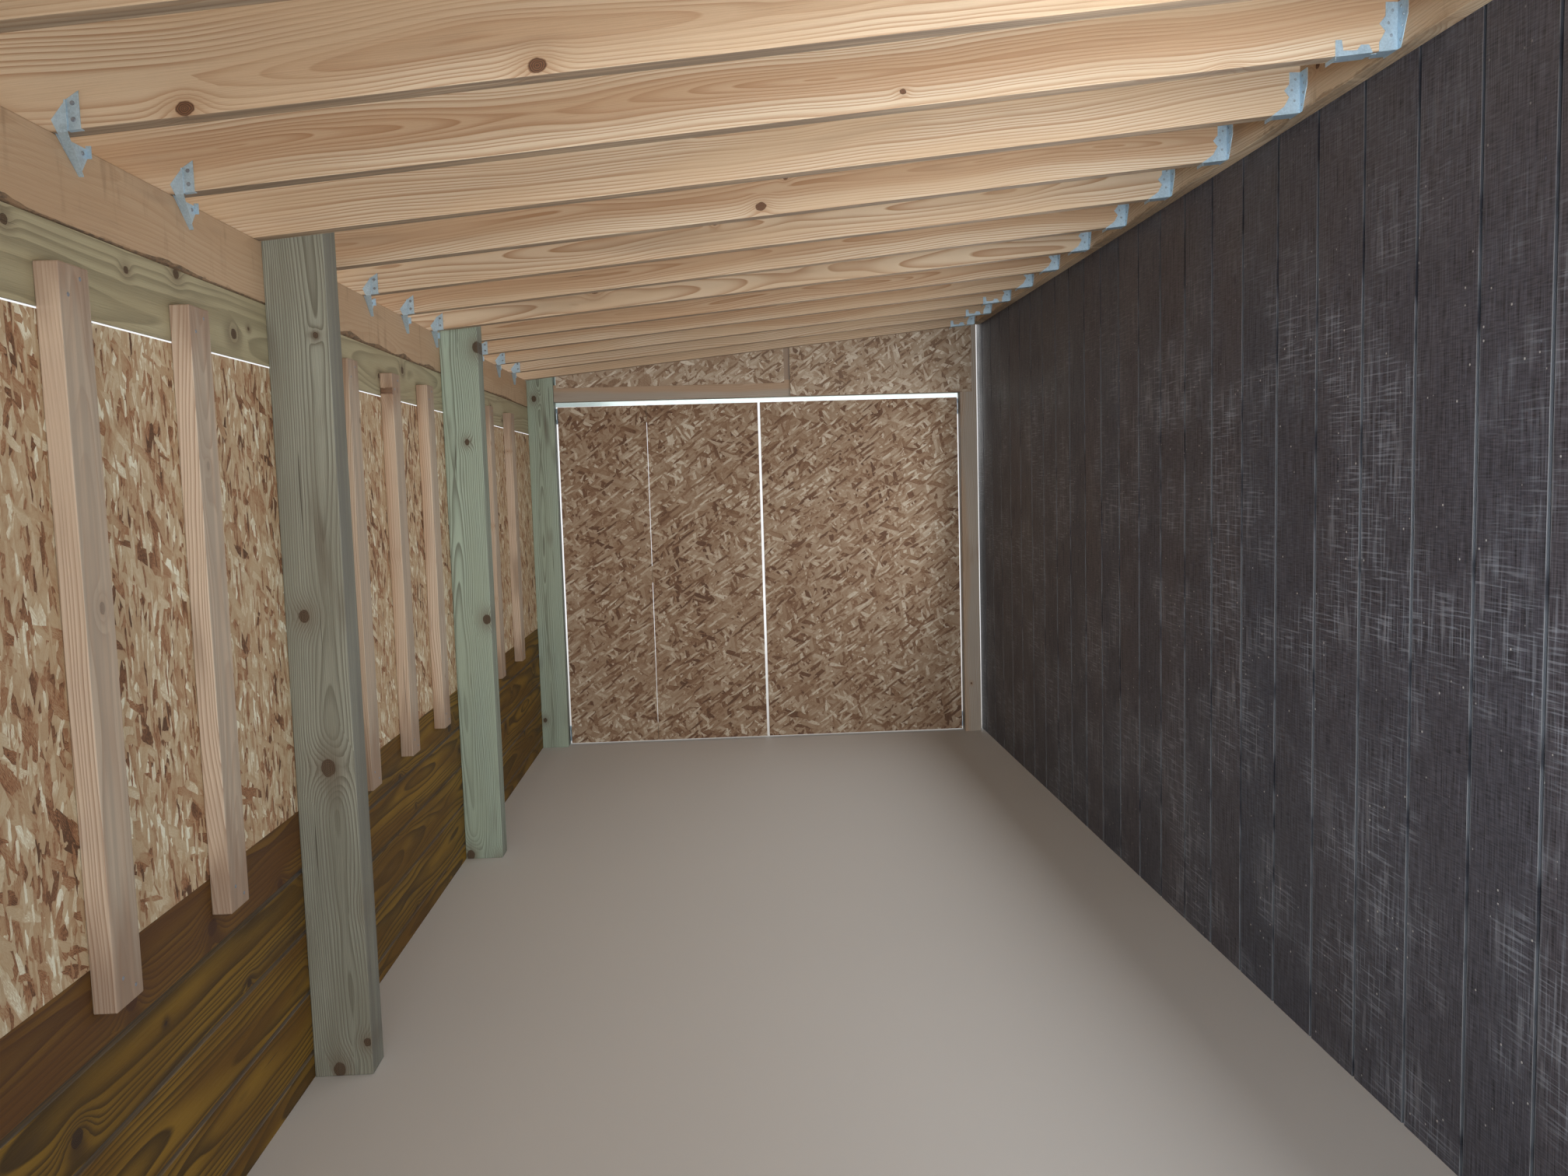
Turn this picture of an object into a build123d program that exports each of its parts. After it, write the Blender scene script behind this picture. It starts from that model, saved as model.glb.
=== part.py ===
from build123d import *
import math
import os

os.makedirs("parts", exist_ok=True)

# A lean-to log store, framed in light timber against the wall of a larger building.
# Lengths are in millimetres. While it is built, X runs from the outer faces of the posts
# towards the party wall, Y from the open end towards the doors, and Z up from the ground.

# Timber and sheet stock
stick_thickness = 38.0
stud_width = 89.0
board_width = 140.0
rafter_depth = 184.0
post_width = 140.0
post_depth = 89.0
wall_sheet_thickness = 11.0
siding_thickness = 16.0
lining_thickness = 12.0
deck_thickness = 12.0
cover_thickness = 4.0
wrap_thickness = 1.0

# Plan
store_width = 2438.0
rafter_spacing = 406.4
rafter_count = 16
second_post_rafter_count = 6
third_post_offset = 78.0
third_post_rafter_count = 10

# Heights
beam_over_header = 27.0
roof_rise = 240.0
post_rise = 136.0
beam_to_girt_gap = 2.0
girt_to_sheet_gap = 4.0
skirt_top = 658.0
skirt_gap = 10.0
skirt_count = 5
party_wall_upstand = 120.0

# Roof edges
eave_overhang = 300.0
roof_end_overhang = 150.0
deck_past_rafters = 20.0

# Studs nailed flat on the inside of the post-and-board wall: in each bay the clear way from
# the post to the first stud, the spacing of the studs, and their number
first_bay_clear = 515.0
first_bay_spacing = 448.0
first_bay_count = 4
second_bay_clear = 377.0
second_bay_spacing = 430.0
second_bay_count = 3
third_bay_clear = 612.0
third_bay_spacing = 523.0
third_bay_count = 2
stud_lap_up = 68.0
stud_lap_down = 74.0

# Grooved siding and the wall behind it
groove_spacing = 203.2
groove_start = 188.1
groove_width = 9.5
groove_depth = 6.0

# Doors in the far gable
door_height = 1829.0
door_ground_gap = 12.0
door_gap = 14.0
door_head_gap = 27.0
left_strip_width = 472.0
strip_gap = 3.0
jamb_to_siding = 20.0
header_height = 89.0

# Gable sheets over the doors
gable_edge_gap = 16.0
gable_seam_x = 1390.0
gable_seam_gap = 31.0
gable_header_lap = 17.0
gable_jamb_lap = 60.0
wrap_clear = 5.0

# Strap hinges
pin_radius = 3.0
pin_clearance = 0.3
barrel_radius = 7.0
hinge_height = 84.0
knuckle_height = 34.0
knuckle_gap = 0.5
hinge_thickness = 3.0
hinge_plate_length = 45.0
strap_length = 280.0
strap_end_height = 22.0
plate_clear = 1.0

# Pressed ties that hold the rafters down to the beam
connector_thickness = 1.2
tie_flange_reach = 45.0
tie_flange_height = 62.0
tie_fold_reach = 24.0
tie_fold_height = 48.0
tie_wing_height = 18.0
tie_wing_foot = 8.0
tie_rib_width = 3.0
tie_rib_depth = 2.5
tie_lip_width = 10.0
tie_leaf_length = 100.0
tie_leaf_start = 8.0
tie_point_along = 71.0
tie_leaf_drop = 52.0
tie_tab_width = 9.0
tie_tab_height = 21.0

# Hangers that carry the rafters on the ledger. Some have their seat farther out.
hanger_height = 90.0
hanger_side_width = 38.0
hanger_waist_width = 26.0
hanger_seat_length = 66.0
hanger_seat_lip = 8.0
hanger_flange_width = 36.0
hanger_flange_foot = 12.0
far_seat_reach = 127.0
far_seat_length = 76.0
far_seat_tab_height = 31.0
far_seat_tab_width = 16.0
far_seat_strap_width = 14.0
far_seat_rafters = (5, 13, 14, 15)

# The girts are cut to shed water on their underside, from a flat beside the sheet.
girt_flat = 3.0
girt_drip = 12.0

# Places worked out from the sizes above
ledger_face = store_width - stick_thickness
door_top = door_ground_gap + door_height
header_bottom = door_top + door_head_gap
header_top = header_bottom + header_height
beam_top = header_top + beam_over_header
ledger_bottom = beam_top + roof_rise
roof_slope = roof_rise / ledger_face
rafter_plumb = rafter_depth * math.sqrt(1 + roof_slope**2)
deck_plumb = deck_thickness * math.sqrt(1 + roof_slope**2)
cover_plumb = cover_thickness * math.sqrt(1 + roof_slope**2)
roof_length = (rafter_count - 1) * rafter_spacing + stick_thickness
gable_y = roof_length
outer_y = gable_y + post_depth
beam_bottom = beam_top - board_width
girt_top = beam_bottom - beam_to_girt_gap
girt_bottom = girt_top - board_width
sheet_top = girt_bottom - girt_to_sheet_gap
post_top = beam_top + post_rise
eave_x = -stick_thickness - eave_overhang
frame_y = gable_y + wall_sheet_thickness
frame_depth = post_depth - wall_sheet_thickness
jamb_right = store_width - jamb_to_siding
jamb_left = jamb_right - stud_width
leaf_width = (jamb_left - post_width - 3 * door_gap) / 2
leaf_depth = wall_sheet_thickness + stick_thickness
left_leaf_x = post_width + door_gap
right_leaf_x = left_leaf_x + leaf_width + door_gap
left_pin_x = post_width + door_gap / 2
right_pin_x = jamb_left - door_gap / 2
pin_y = outer_y + barrel_radius


def block(x, y, z):
    """A box between three (low, high) pairs."""
    size = [high - low for low, high in (x, y, z)]
    return Pos(x[0], y[0], z[0]) * Box(*size, align=(Align.MIN, Align.MIN, Align.MIN))


def slab_from_side(points, y_low, y_high):
    """A slab with the given (x, z) outline, running along Y."""
    face = Plane.XZ * make_face(Polyline(*points, close=True).edges())
    return Pos(0, y_high, 0) * extrude(face, amount=y_high - y_low)


def underside(x):
    """Height of the rafters' undersides."""
    return beam_top + roof_slope * x


def deck_underside(x):
    return underside(x) + rafter_plumb


def rafter_near(index):
    """Y of a rafter's near face."""
    return index * rafter_spacing


def post_places():
    """Y of each post's near face: three stand against a rafter, one stands past its rafter."""
    first = stick_thickness
    second = rafter_near(second_post_rafter_count) + stick_thickness
    third = rafter_near(third_post_rafter_count) + stick_thickness + third_post_offset
    return (first, second, third, gable_y)


def bay_ends():
    """Y at which the wall's boards and sheets meet, at the middle of each post."""
    places = post_places()
    middles = [place + post_depth / 2 for place in places[1:3]]
    return [places[0], *middles, outer_y]


def posts():
    made = {}
    for number, near in enumerate(post_places(), start=1):
        post = block((0, post_width), (near, near + post_depth), (0, post_top))
        made[f"post_{number}"] = post
    return made


def wall_boards():
    """The beam, girt, sheet and skirt boards of each bay, nailed to the posts' outer faces."""
    made = {}
    ends = bay_ends()
    for bay in range(3):
        along = (ends[bay], ends[bay + 1])
        beam_along = (0.0, along[1]) if bay == 0 else along
        across = (-stick_thickness, 0)
        made[f"beam_{bay + 1}"] = block(across, beam_along, (beam_bottom, beam_top))
        drip = slab_from_side(
            [
                (-girt_flat, girt_bottom),
                (-stick_thickness, girt_bottom + girt_drip),
                (-stick_thickness, girt_bottom),
            ],
            *along,
        )
        made[f"girt_{bay + 1}"] = block(across, along, (girt_bottom, girt_top)) - drip
        sheet = block((-wall_sheet_thickness, 0), along, (skirt_top, sheet_top))
        made[f"wall_sheet_{bay + 1}"] = sheet
        skirts = []
        for row in range(skirt_count):
            top = skirt_top - row * (board_width + skirt_gap)
            skirts.append(block(across, along, (max(top - board_width, 0.0), top)))
        made[f"skirt_boards_{bay + 1}"] = Compound(skirts)
    return made


def wall_studs():
    made = {}
    low = skirt_top - stud_lap_down
    high = girt_bottom + stud_lap_up
    bays = (
        (first_bay_clear, first_bay_spacing, first_bay_count),
        (second_bay_clear, second_bay_spacing, second_bay_count),
        (third_bay_clear, third_bay_spacing, third_bay_count),
    )
    for bay, (clear, spacing, count) in enumerate(bays):
        start = post_places()[bay] + post_depth + clear
        studs = []
        for index in range(count):
            near = start + index * spacing
            studs.append(block((0, stick_thickness), (near, near + stud_width), (low, high)))
        made[f"wall_studs_{bay + 1}"] = Compound(studs)
    return made


def rafter(index):
    """A rafter with a plumb tail, notched over the beam, its foot cut to meet the ledger."""
    near = rafter_near(index)
    tail_top = (eave_x, deck_underside(eave_x))
    points = [
        (eave_x, underside(eave_x)),
        (-stick_thickness, underside(-stick_thickness)),
        (-stick_thickness, beam_top),
        (0, beam_top),
        (ledger_face, underside(ledger_face)),
        (ledger_face, deck_underside(ledger_face)),
        tail_top,
    ]
    return slab_from_side(points, near, near + stick_thickness)


def rafters():
    """The rafters, one node over each bay."""
    starts = (0, second_post_rafter_count + 1, third_post_rafter_count + 1, rafter_count)
    made = {}
    for bay in range(3):
        row = [rafter(index) for index in range(starts[bay], starts[bay + 1])]
        made[f"rafters_{bay + 1}"] = Compound(row)
    return made


def slab_from_face(points, x_low, x_high):
    """A slab with the given (y, z) outline, standing on a plane across X."""
    face = Plane.YZ * make_face(Polyline(*points, close=True).edges())
    return Pos(x_low, 0, 0) * extrude(face, amount=x_high - x_low)


def rafter_tie(index):
    """A pressed tie: a flange and wing up the rafter's near face, a lip under the rafter, a
    web down to the point of the leaf on the beam's face, and a tab at the leaf's far end."""
    near = rafter_near(index)
    skin = near - connector_thickness
    low = beam_top - connector_thickness
    up = [
        (0, beam_top + tie_wing_height),
        (tie_fold_reach, beam_top + tie_fold_height),
        (tie_flange_reach, beam_top + tie_flange_height),
        (tie_flange_reach, underside(tie_flange_reach) - connector_thickness),
        (tie_fold_reach, underside(tie_fold_reach) - connector_thickness),
        (tie_fold_reach, low),
        (tie_wing_foot, low),
    ]
    tie = slab_from_side(up, skin, near)
    rib = (tie_fold_reach - tie_rib_width / 2, tie_fold_reach + tie_rib_width / 2)
    rib_up = (underside(tie_fold_reach), beam_top + tie_fold_height)
    tie += block(rib, (skin - tie_rib_depth, skin), rib_up)
    lip = [
        (tie_fold_reach, underside(tie_fold_reach) - connector_thickness),
        (tie_flange_reach, underside(tie_flange_reach) - connector_thickness),
        (tie_flange_reach, underside(tie_flange_reach)),
        (tie_fold_reach, underside(tie_fold_reach)),
    ]
    tie += slab_from_side(lip, skin, near + tie_lip_width)
    point = near + tie_point_along
    point_z = beam_top - tie_leaf_drop
    end = near + tie_leaf_length
    tab_low = beam_top - tie_tab_height * 0.75
    leaf = [
        (near + tie_leaf_start, beam_top),
        (point, point_z),
        (end, tab_low),
        (end, beam_top),
    ]
    tie += slab_from_face(leaf, 0, connector_thickness)
    web = Polyline(
        (tie_wing_foot, skin, low),
        (tie_fold_reach, skin, low),
        (tie_wing_foot, point, point_z),
        (0, point, point_z),
        close=True,
    )
    out = Vector(0, tie_leaf_drop, tie_point_along).normalized()
    tie += extrude(make_face(web.edges()), amount=connector_thickness, dir=out)
    tab = (tab_low, tab_low + tie_tab_height)
    tie += block((0, tie_tab_width), (end - connector_thickness, end), tab)
    return tie


def rafter_ties():
    bare = (0, second_post_rafter_count, rafter_count - 1)
    ties = [rafter_tie(index) for index in range(rafter_count) if index not in bare]
    return {"rafter_ties": Compound(ties)}


def sloping_strip(x_low, x_high, y_low, y_high):
    """A strip of connector metal that lies under the rafters' undersides."""
    outline = [
        (x_low, underside(x_low) - connector_thickness),
        (x_high, underside(x_high) - connector_thickness),
        (x_high, underside(x_high)),
        (x_low, underside(x_low)),
    ]
    return slab_from_side(outline, y_low, y_high)


def joist_hanger(index):
    """A hanger: scalloped sides on the rafter, tapered flanges on the ledger and a seat under
    the rafter, which on some hangers is a bracket with upturned tabs farther out. At the two
    end rafters there is only the side towards the middle of the store."""
    near = rafter_near(index)
    far = near + stick_thickness
    foot = ledger_face
    low = underside(foot) - connector_thickness
    top = underside(foot) + hanger_height
    far_seat = index in far_seat_rafters
    reach = hanger_side_width if far_seat else hanger_seat_length
    outline = [
        (foot, low),
        (foot, top),
        (foot - hanger_waist_width, top),
        (foot - hanger_waist_width, low + hanger_height * 0.72),
        (foot - hanger_side_width, low + hanger_height * 0.56),
        (foot - hanger_waist_width, low + hanger_height * 0.40),
        (foot - hanger_side_width, low + hanger_height * 0.16),
        (foot - reach, underside(foot - reach)),
        (foot - reach, underside(foot - reach) - connector_thickness),
    ]
    sides = []
    if index > 0:
        sides.append((near - connector_thickness, near, near, -1))
    if index < rafter_count - 1:
        sides.append((far, far + connector_thickness, far, 1))
    seat_low = min([near] + [side[0] for side in sides])
    seat_high = max([far] + [side[1] for side in sides])
    hanger = sloping_strip(foot - reach, foot, seat_low, seat_high)
    lip_x = foot - reach
    if far_seat:
        middle = (near + far) / 2
        start = foot - far_seat_reach
        end = start + far_seat_length
        hanger += sloping_strip(start, end, seat_low, seat_high)
        half = far_seat_strap_width / 2
        hanger += sloping_strip(end, foot - reach, middle - half, middle + half)
        lip_x = start
    lip = (underside(lip_x) - hanger_seat_lip, underside(lip_x))
    hanger += block((lip_x, lip_x + connector_thickness), (seat_low, seat_high), lip)
    for y_low, y_high, face, way in sides:
        hanger += slab_from_side(outline, y_low, y_high)
        flange = [
            (face, low),
            (face, top),
            (face + way * hanger_flange_width, top),
            (face + way * hanger_flange_width, low + hanger_height * 0.64),
            (face + way * hanger_flange_foot, low),
        ]
        hanger += slab_from_face(flange, foot - connector_thickness, foot)
        if far_seat:
            tall = far_seat_tab_height
            tab_end = start + far_seat_tab_width
            hanger += slab_from_side(
                [
                    (start, underside(start) - connector_thickness),
                    (start, underside(start) + tall),
                    (tab_end - far_seat_tab_width * 0.2, underside(start) + tall),
                    (tab_end, underside(start) + tall * 0.35),
                    (end - 2 * far_seat_tab_width, underside(start) + tall * 0.35),
                    (end - 1.5 * far_seat_tab_width, underside(start) + tall * 0.7),
                    (end - 0.5 * far_seat_tab_width, underside(start) + tall * 0.7),
                    (end, underside(end) - connector_thickness),
                ],
                y_low,
                y_high,
            )
    return hanger


def joist_hangers():
    return {"joist_hangers": Compound([joist_hanger(index) for index in range(rafter_count)])}


def roof():
    """The deck on the rafters and the covering on the deck, both up to the siding."""
    low_x = eave_x - deck_past_rafters
    y_low = -roof_end_overhang
    y_high = roof_length + roof_end_overhang

    def sheet(rise, thick):
        points = [
            (low_x, deck_underside(low_x) + rise),
            (store_width, deck_underside(store_width) + rise),
            (store_width, deck_underside(store_width) + rise + thick),
            (low_x, deck_underside(low_x) + rise + thick),
        ]
        return slab_from_side(points, y_low, y_high)

    return {"roof_deck": sheet(0, deck_plumb), "roof_covering": sheet(deck_plumb, cover_plumb)}


def party_wall():
    """The grooved siding, the studs and plates behind it, and the lining at the cut face."""
    roof_top = deck_underside(store_width) + deck_plumb + cover_plumb
    top = roof_top + party_wall_upstand
    siding = block((store_width, store_width + siding_thickness), (0, outer_y), (0, top))
    place = groove_start
    while place + groove_width < outer_y:
        cut = (store_width, store_width + groove_depth)
        siding -= block(cut, (place - groove_width / 2, place + groove_width / 2), (0, top))
        place += groove_spacing
    back = store_width + siding_thickness
    lining_x = back + stud_width
    plates = [
        block((back, lining_x), (0, outer_y), (0, stick_thickness)),
        block((back, lining_x), (0, outer_y), (top - stick_thickness, top)),
    ]
    between = (stick_thickness, top - stick_thickness)
    studs = []
    for index in range(rafter_count):
        near = rafter_near(index)
        studs.append(block((back, lining_x), (near, near + stick_thickness), between))
    lining = block((lining_x, lining_x + lining_thickness), (0, outer_y), (0, top))
    ledger = block(
        (ledger_face, store_width),
        (0, gable_y),
        (ledger_bottom, ledger_bottom + rafter_depth),
    )
    return {
        "ledger": ledger,
        "siding": siding,
        "party_wall_plates": Compound(plates),
        "party_wall_studs": Compound(studs),
        "party_wall_lining": lining,
    }


def gable():
    """The head and jamb of the doorway, the sheets over it and the wrap on its outside."""
    frame_along = (frame_y, frame_y + frame_depth)
    header = block((post_width, jamb_left), frame_along, (header_bottom, header_top))
    jamb = block((jamb_left, jamb_right), frame_along, (0, deck_underside(jamb_left)))
    cripple_left = gable_seam_x - stud_width / 2
    cripple = block(
        (cripple_left, cripple_left + stud_width),
        frame_along,
        (header_top, deck_underside(cripple_left)),
    )

    def panel(left, right, bottom, y_low, y_high):
        points = [
            (left, bottom),
            (right, bottom),
            (right, deck_underside(right)),
            (left, deck_underside(left)),
        ]
        return slab_from_side(points, y_low, y_high)

    half_seam = gable_seam_gap / 2
    left_panel = panel(
        post_width + gable_edge_gap,
        gable_seam_x - half_seam,
        header_top - gable_header_lap,
        gable_y,
        frame_y,
    )
    right_panel = panel(
        gable_seam_x + half_seam,
        jamb_left + gable_jamb_lap,
        header_bottom,
        gable_y,
        frame_y,
    )
    wrap = panel(0, jamb_right, door_top + wrap_clear, outer_y, outer_y + wrap_thickness)
    return {
        "door_header": header,
        "right_jamb": jamb,
        "cripple_stud": cripple,
        "gable_sheet_left": left_panel,
        "gable_sheet_right": right_panel,
        "gable_wrap": wrap,
    }


def rail_places():
    """Bottom heights of a door's three rails."""
    low = door_ground_gap
    high = door_top - stud_width
    return (low, (low + high) / 2, high)


def door_leaf(side, left, strip_edges):
    """A leaf: sheet inside, stiles and rails outside."""
    right = left + leaf_width
    sheet_along = (outer_y - leaf_depth, outer_y - stick_thickness)
    frame_along = (outer_y - stick_thickness, outer_y)
    tall = (door_ground_gap, door_top)
    sheets = [block(edges, sheet_along, tall) for edges in strip_edges]
    stiles = [
        block((left, left + stud_width), frame_along, tall),
        block((right - stud_width, right), frame_along, tall),
    ]
    rails = [
        block((left + stud_width, right - stud_width), frame_along, (low, low + stud_width))
        for low in rail_places()
    ]
    return {
        f"{side}_door_sheet": Compound(sheets),
        f"{side}_door_stiles": Compound(stiles),
        f"{side}_door_rails": Compound(rails),
    }


def hinge(pin_x, middle, way):
    """One strap hinge: its fixed plate with the pin, and its moving strap. way is +1 or -1,
    the side of the pin on which the leaf hangs."""
    face = -barrel_radius
    metal = (face, face + hinge_thickness)
    half = hinge_height / 2
    half_knuckle = knuckle_height / 2

    def run(start, end):
        return tuple(sorted((way * start, way * end)))

    def barrel(low, high):
        return Pos(0, 0, low) * Cylinder(
            barrel_radius, high - low, align=(Align.CENTER, Align.CENTER, Align.MIN)
        )

    lower = (-half, -half_knuckle - knuckle_gap)
    upper = (half_knuckle + knuckle_gap, half)
    plate_edge = -barrel_radius - plate_clear
    fixed = block(run(-hinge_plate_length, plate_edge), metal, (-half, half))
    for low, high in (lower, upper):
        fixed += block(run(plate_edge, 0), metal, (low, high))
        fixed += barrel(low, high)
    fixed += Pos(0, 0, -half) * Cylinder(
        pin_radius, hinge_height, align=(Align.CENTER, Align.CENTER, Align.MIN)
    )
    half_end = strap_end_height / 2
    outline = Polyline(
        (0, -half_knuckle),
        (way * strap_length, -half_end),
        (way * strap_length, half_end),
        (0, half_knuckle),
        close=True,
    )
    strap_face = Plane.XZ * make_face(outline.edges())
    strap = Pos(0, face + hinge_thickness, 0) * extrude(strap_face, amount=hinge_thickness)
    strap += barrel(-half_knuckle, half_knuckle)
    strap -= Pos(0, 0, -half) * Cylinder(
        pin_radius + pin_clearance, hinge_height, align=(Align.CENTER, Align.CENTER, Align.MIN)
    )
    place = Pos(pin_x, pin_y, middle)
    return place * fixed, place * strap


def doors():
    split = left_leaf_x + left_strip_width
    made = {}
    left_edges = ((left_leaf_x, split), (split + strip_gap, left_leaf_x + leaf_width))
    made.update(door_leaf("left", left_leaf_x, left_edges))
    right_edges = ((right_leaf_x, right_leaf_x + leaf_width),)
    made.update(door_leaf("right", right_leaf_x, right_edges))
    heights = [low + stud_width / 2 for low in (rail_places()[0], rail_places()[2])]
    for side, pin_x, way in (("left", left_pin_x, 1), ("right", right_pin_x, -1)):
        pairs = [hinge(pin_x, height, way) for height in heights]
        made[f"{side}_hinge_plates"] = Compound([fixed for fixed, strap in pairs])
        made[f"{side}_door_straps"] = Compound([strap for fixed, strap in pairs])
    return made


nodes = {}
nodes.update(posts())
nodes.update(wall_boards())
nodes.update(wall_studs())
nodes.update(rafters())
nodes.update(rafter_ties())
nodes.update(joist_hangers())
nodes.update(roof())
nodes.update(party_wall())
nodes.update(gable())
nodes.update(doors())

# The origin is on the ground, under the middle of the whole building.
whole = Compound([solid for shape in nodes.values() for solid in shape.solids()]).bounding_box()
centre = whole.center()
to_origin = Pos(-centre.X, -centre.Y, -whole.min.Z)
for name, shape in nodes.items():
    export_step(to_origin * Compound(shape.solids()), f"parts/{name}.step")

print("moved by", to_origin.position)
print("size", whole.size)
print("left pin", left_pin_x - centre.X, pin_y - centre.Y)
print("right pin", right_pin_x - centre.X, pin_y - centre.Y)
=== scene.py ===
import math
import random

import bmesh
import bpy
from mathutils import Matrix, Vector


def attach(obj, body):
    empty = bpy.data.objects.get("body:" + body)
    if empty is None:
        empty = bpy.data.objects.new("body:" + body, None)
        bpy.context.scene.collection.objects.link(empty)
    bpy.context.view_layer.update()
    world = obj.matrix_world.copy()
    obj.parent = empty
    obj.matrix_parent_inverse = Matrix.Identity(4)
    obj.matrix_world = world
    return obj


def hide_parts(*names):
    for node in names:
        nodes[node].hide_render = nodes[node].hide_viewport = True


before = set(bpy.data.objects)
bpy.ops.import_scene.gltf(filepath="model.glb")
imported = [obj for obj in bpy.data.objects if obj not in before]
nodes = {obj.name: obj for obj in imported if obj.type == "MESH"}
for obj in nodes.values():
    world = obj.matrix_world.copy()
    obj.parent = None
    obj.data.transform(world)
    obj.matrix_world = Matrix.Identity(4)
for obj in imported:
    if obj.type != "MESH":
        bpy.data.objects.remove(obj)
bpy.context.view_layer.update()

scene = bpy.context.scene
scene.view_settings.view_transform = "Standard"

# The camera stands just outside the open end, at standing height, and looks along the
# store, turned a little to the party wall and a little down. It is held slightly crooked.
eye = Vector((-0.0606, -3.4344, 1.400))
yaw, pitch, roll = 0.0466, 0.0869, 0.0289
forward = Vector((math.sin(yaw) * math.cos(pitch), math.cos(yaw) * math.cos(pitch), -math.sin(pitch)))
level_right = Vector((math.cos(yaw), -math.sin(yaw), 0.0))
level_down = forward.cross(level_right)
right = math.cos(roll) * level_right + math.sin(roll) * level_down
down = math.cos(roll) * level_down - math.sin(roll) * level_right
camera_data = bpy.data.cameras.new("camera")
camera_data.sensor_fit = "HORIZONTAL"
camera_data.sensor_width = 36.0
camera_data.lens = 27.516
camera_data.clip_start = 0.02
camera = bpy.data.objects.new("camera", camera_data)
camera.matrix_world = Matrix.Translation(eye) @ Matrix((right, -down, -forward)).transposed().to_4x4()
scene.collection.objects.link(camera)
scene.camera = camera


# The posts are treated softwood, sawn 140 by 89 mm, set upright in a row inside the beam,
# which is nailed to them. They are greenish grey, the far two greener, with close upright
# grain, a few dark knots and short checks. Their look is a tree of shader nodes.
class Wire:
    """A node's output in a shader tree. Arithmetic on it adds Math nodes."""

    def __init__(self, tree, socket):
        self.tree = tree
        self.socket = socket

    def node(self, kind, settings, inputs, output=0):
        """Adds a node: its settings first, then the values or wires of its inputs."""
        made = self.tree.nodes.new(kind)
        for key, value in settings.items():
            if key == "stops":
                stops = made.color_ramp.elements
                while len(stops) < len(value):
                    stops.new(0.5)
                for stop, (place, shade) in zip(stops, value):
                    stop.position = place
                    shade = shade if isinstance(shade, tuple) else (shade, shade, shade)
                    stop.color = (*shade, 1.0)
            else:
                setattr(made, key, value)
        for key, value in inputs.items():
            if isinstance(value, Wire):
                self.tree.links.new(value.socket, made.inputs[key])
            elif isinstance(value, tuple) and made.inputs[key].type == "RGBA":
                made.inputs[key].default_value = (*value, 1.0)
            else:
                made.inputs[key].default_value = value
        return made if output is None else Wire(self.tree, made.outputs[output])

    def out(self, output):
        return Wire(self.tree, self.socket.node.outputs[output])

    def maths(self, operation, *values):
        return self.node("ShaderNodeMath", {"operation": operation}, dict(enumerate(values)))

    def __add__(self, other):
        return self.maths("ADD", self, other)

    def __sub__(self, other):
        return self.maths("SUBTRACT", self, other)

    def __mul__(self, other):
        return self.maths("MULTIPLY", self, other)

    def __truediv__(self, other):
        return self.maths("DIVIDE", self, other)

    def __lt__(self, other):
        return self.maths("LESS_THAN", self, other)


def fresh_material(name):
    """A material with an empty tree, and a wire to add the first nodes from."""
    material = bpy.data.materials.new(name)
    material.use_nodes = True
    material.node_tree.nodes.clear()
    return material, Wire(material.node_tree, None)


def vector(start, x, y, z=0.0):
    return start.node("ShaderNodeCombineXYZ", {}, {0: x, 1: y, 2: z})


def noise(start, place, scale, detail=2.0, rough=0.5, flat=False):
    """Noise in space, or by the first two coordinates alone where it is flat."""
    settings = {"noise_dimensions": "2D" if flat else "3D"}
    inputs = {"Vector": place, "Scale": scale, "Detail": detail, "Roughness": rough}
    return start.node("ShaderNodeTexNoise", settings, inputs)


def drift(value):
    """Noise along a line."""
    inputs = {"W": value, "Scale": 1.0, "Detail": 1.0}
    return value.node("ShaderNodeTexNoise", {"noise_dimensions": "1D"}, inputs)


def step(value, low, high, to_low=0.0, to_high=1.0):
    """A smooth step of a value from one level to another."""
    inputs = {"Value": value, "From Min": low, "From Max": high, "To Min": to_low, "To Max": to_high}
    return value.node("ShaderNodeMapRange", {"interpolation_type": "SMOOTHSTEP"}, inputs)


def blend(factor, first, second):
    """Two colours mixed."""
    return factor.node("ShaderNodeMix", {"data_type": "RGBA"}, {0: factor, 6: first, 7: second}, 2)


def surface(start, material, shader, height=None, depth=0.001):
    """Ends a material: its Principled shader, with a Bump node where it has a height."""
    shader = dict(shader)
    if height is not None:
        shader["Normal"] = start.node("ShaderNodeBump", {}, {"Height": height, "Distance": depth})
    made = start.node("ShaderNodeBsdfPrincipled", {}, shader)
    output = start.tree.nodes.new("ShaderNodeOutputMaterial")
    start.tree.links.new(made.socket, output.inputs["Surface"])
    return material


def pick(start, axis):
    """One of the object's coordinates."""
    place = start.node("ShaderNodeTexCoord", {}, {}, "Object")
    return start.node("ShaderNodeSeparateXYZ", {}, {"Vector": place}, axis)


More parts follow.
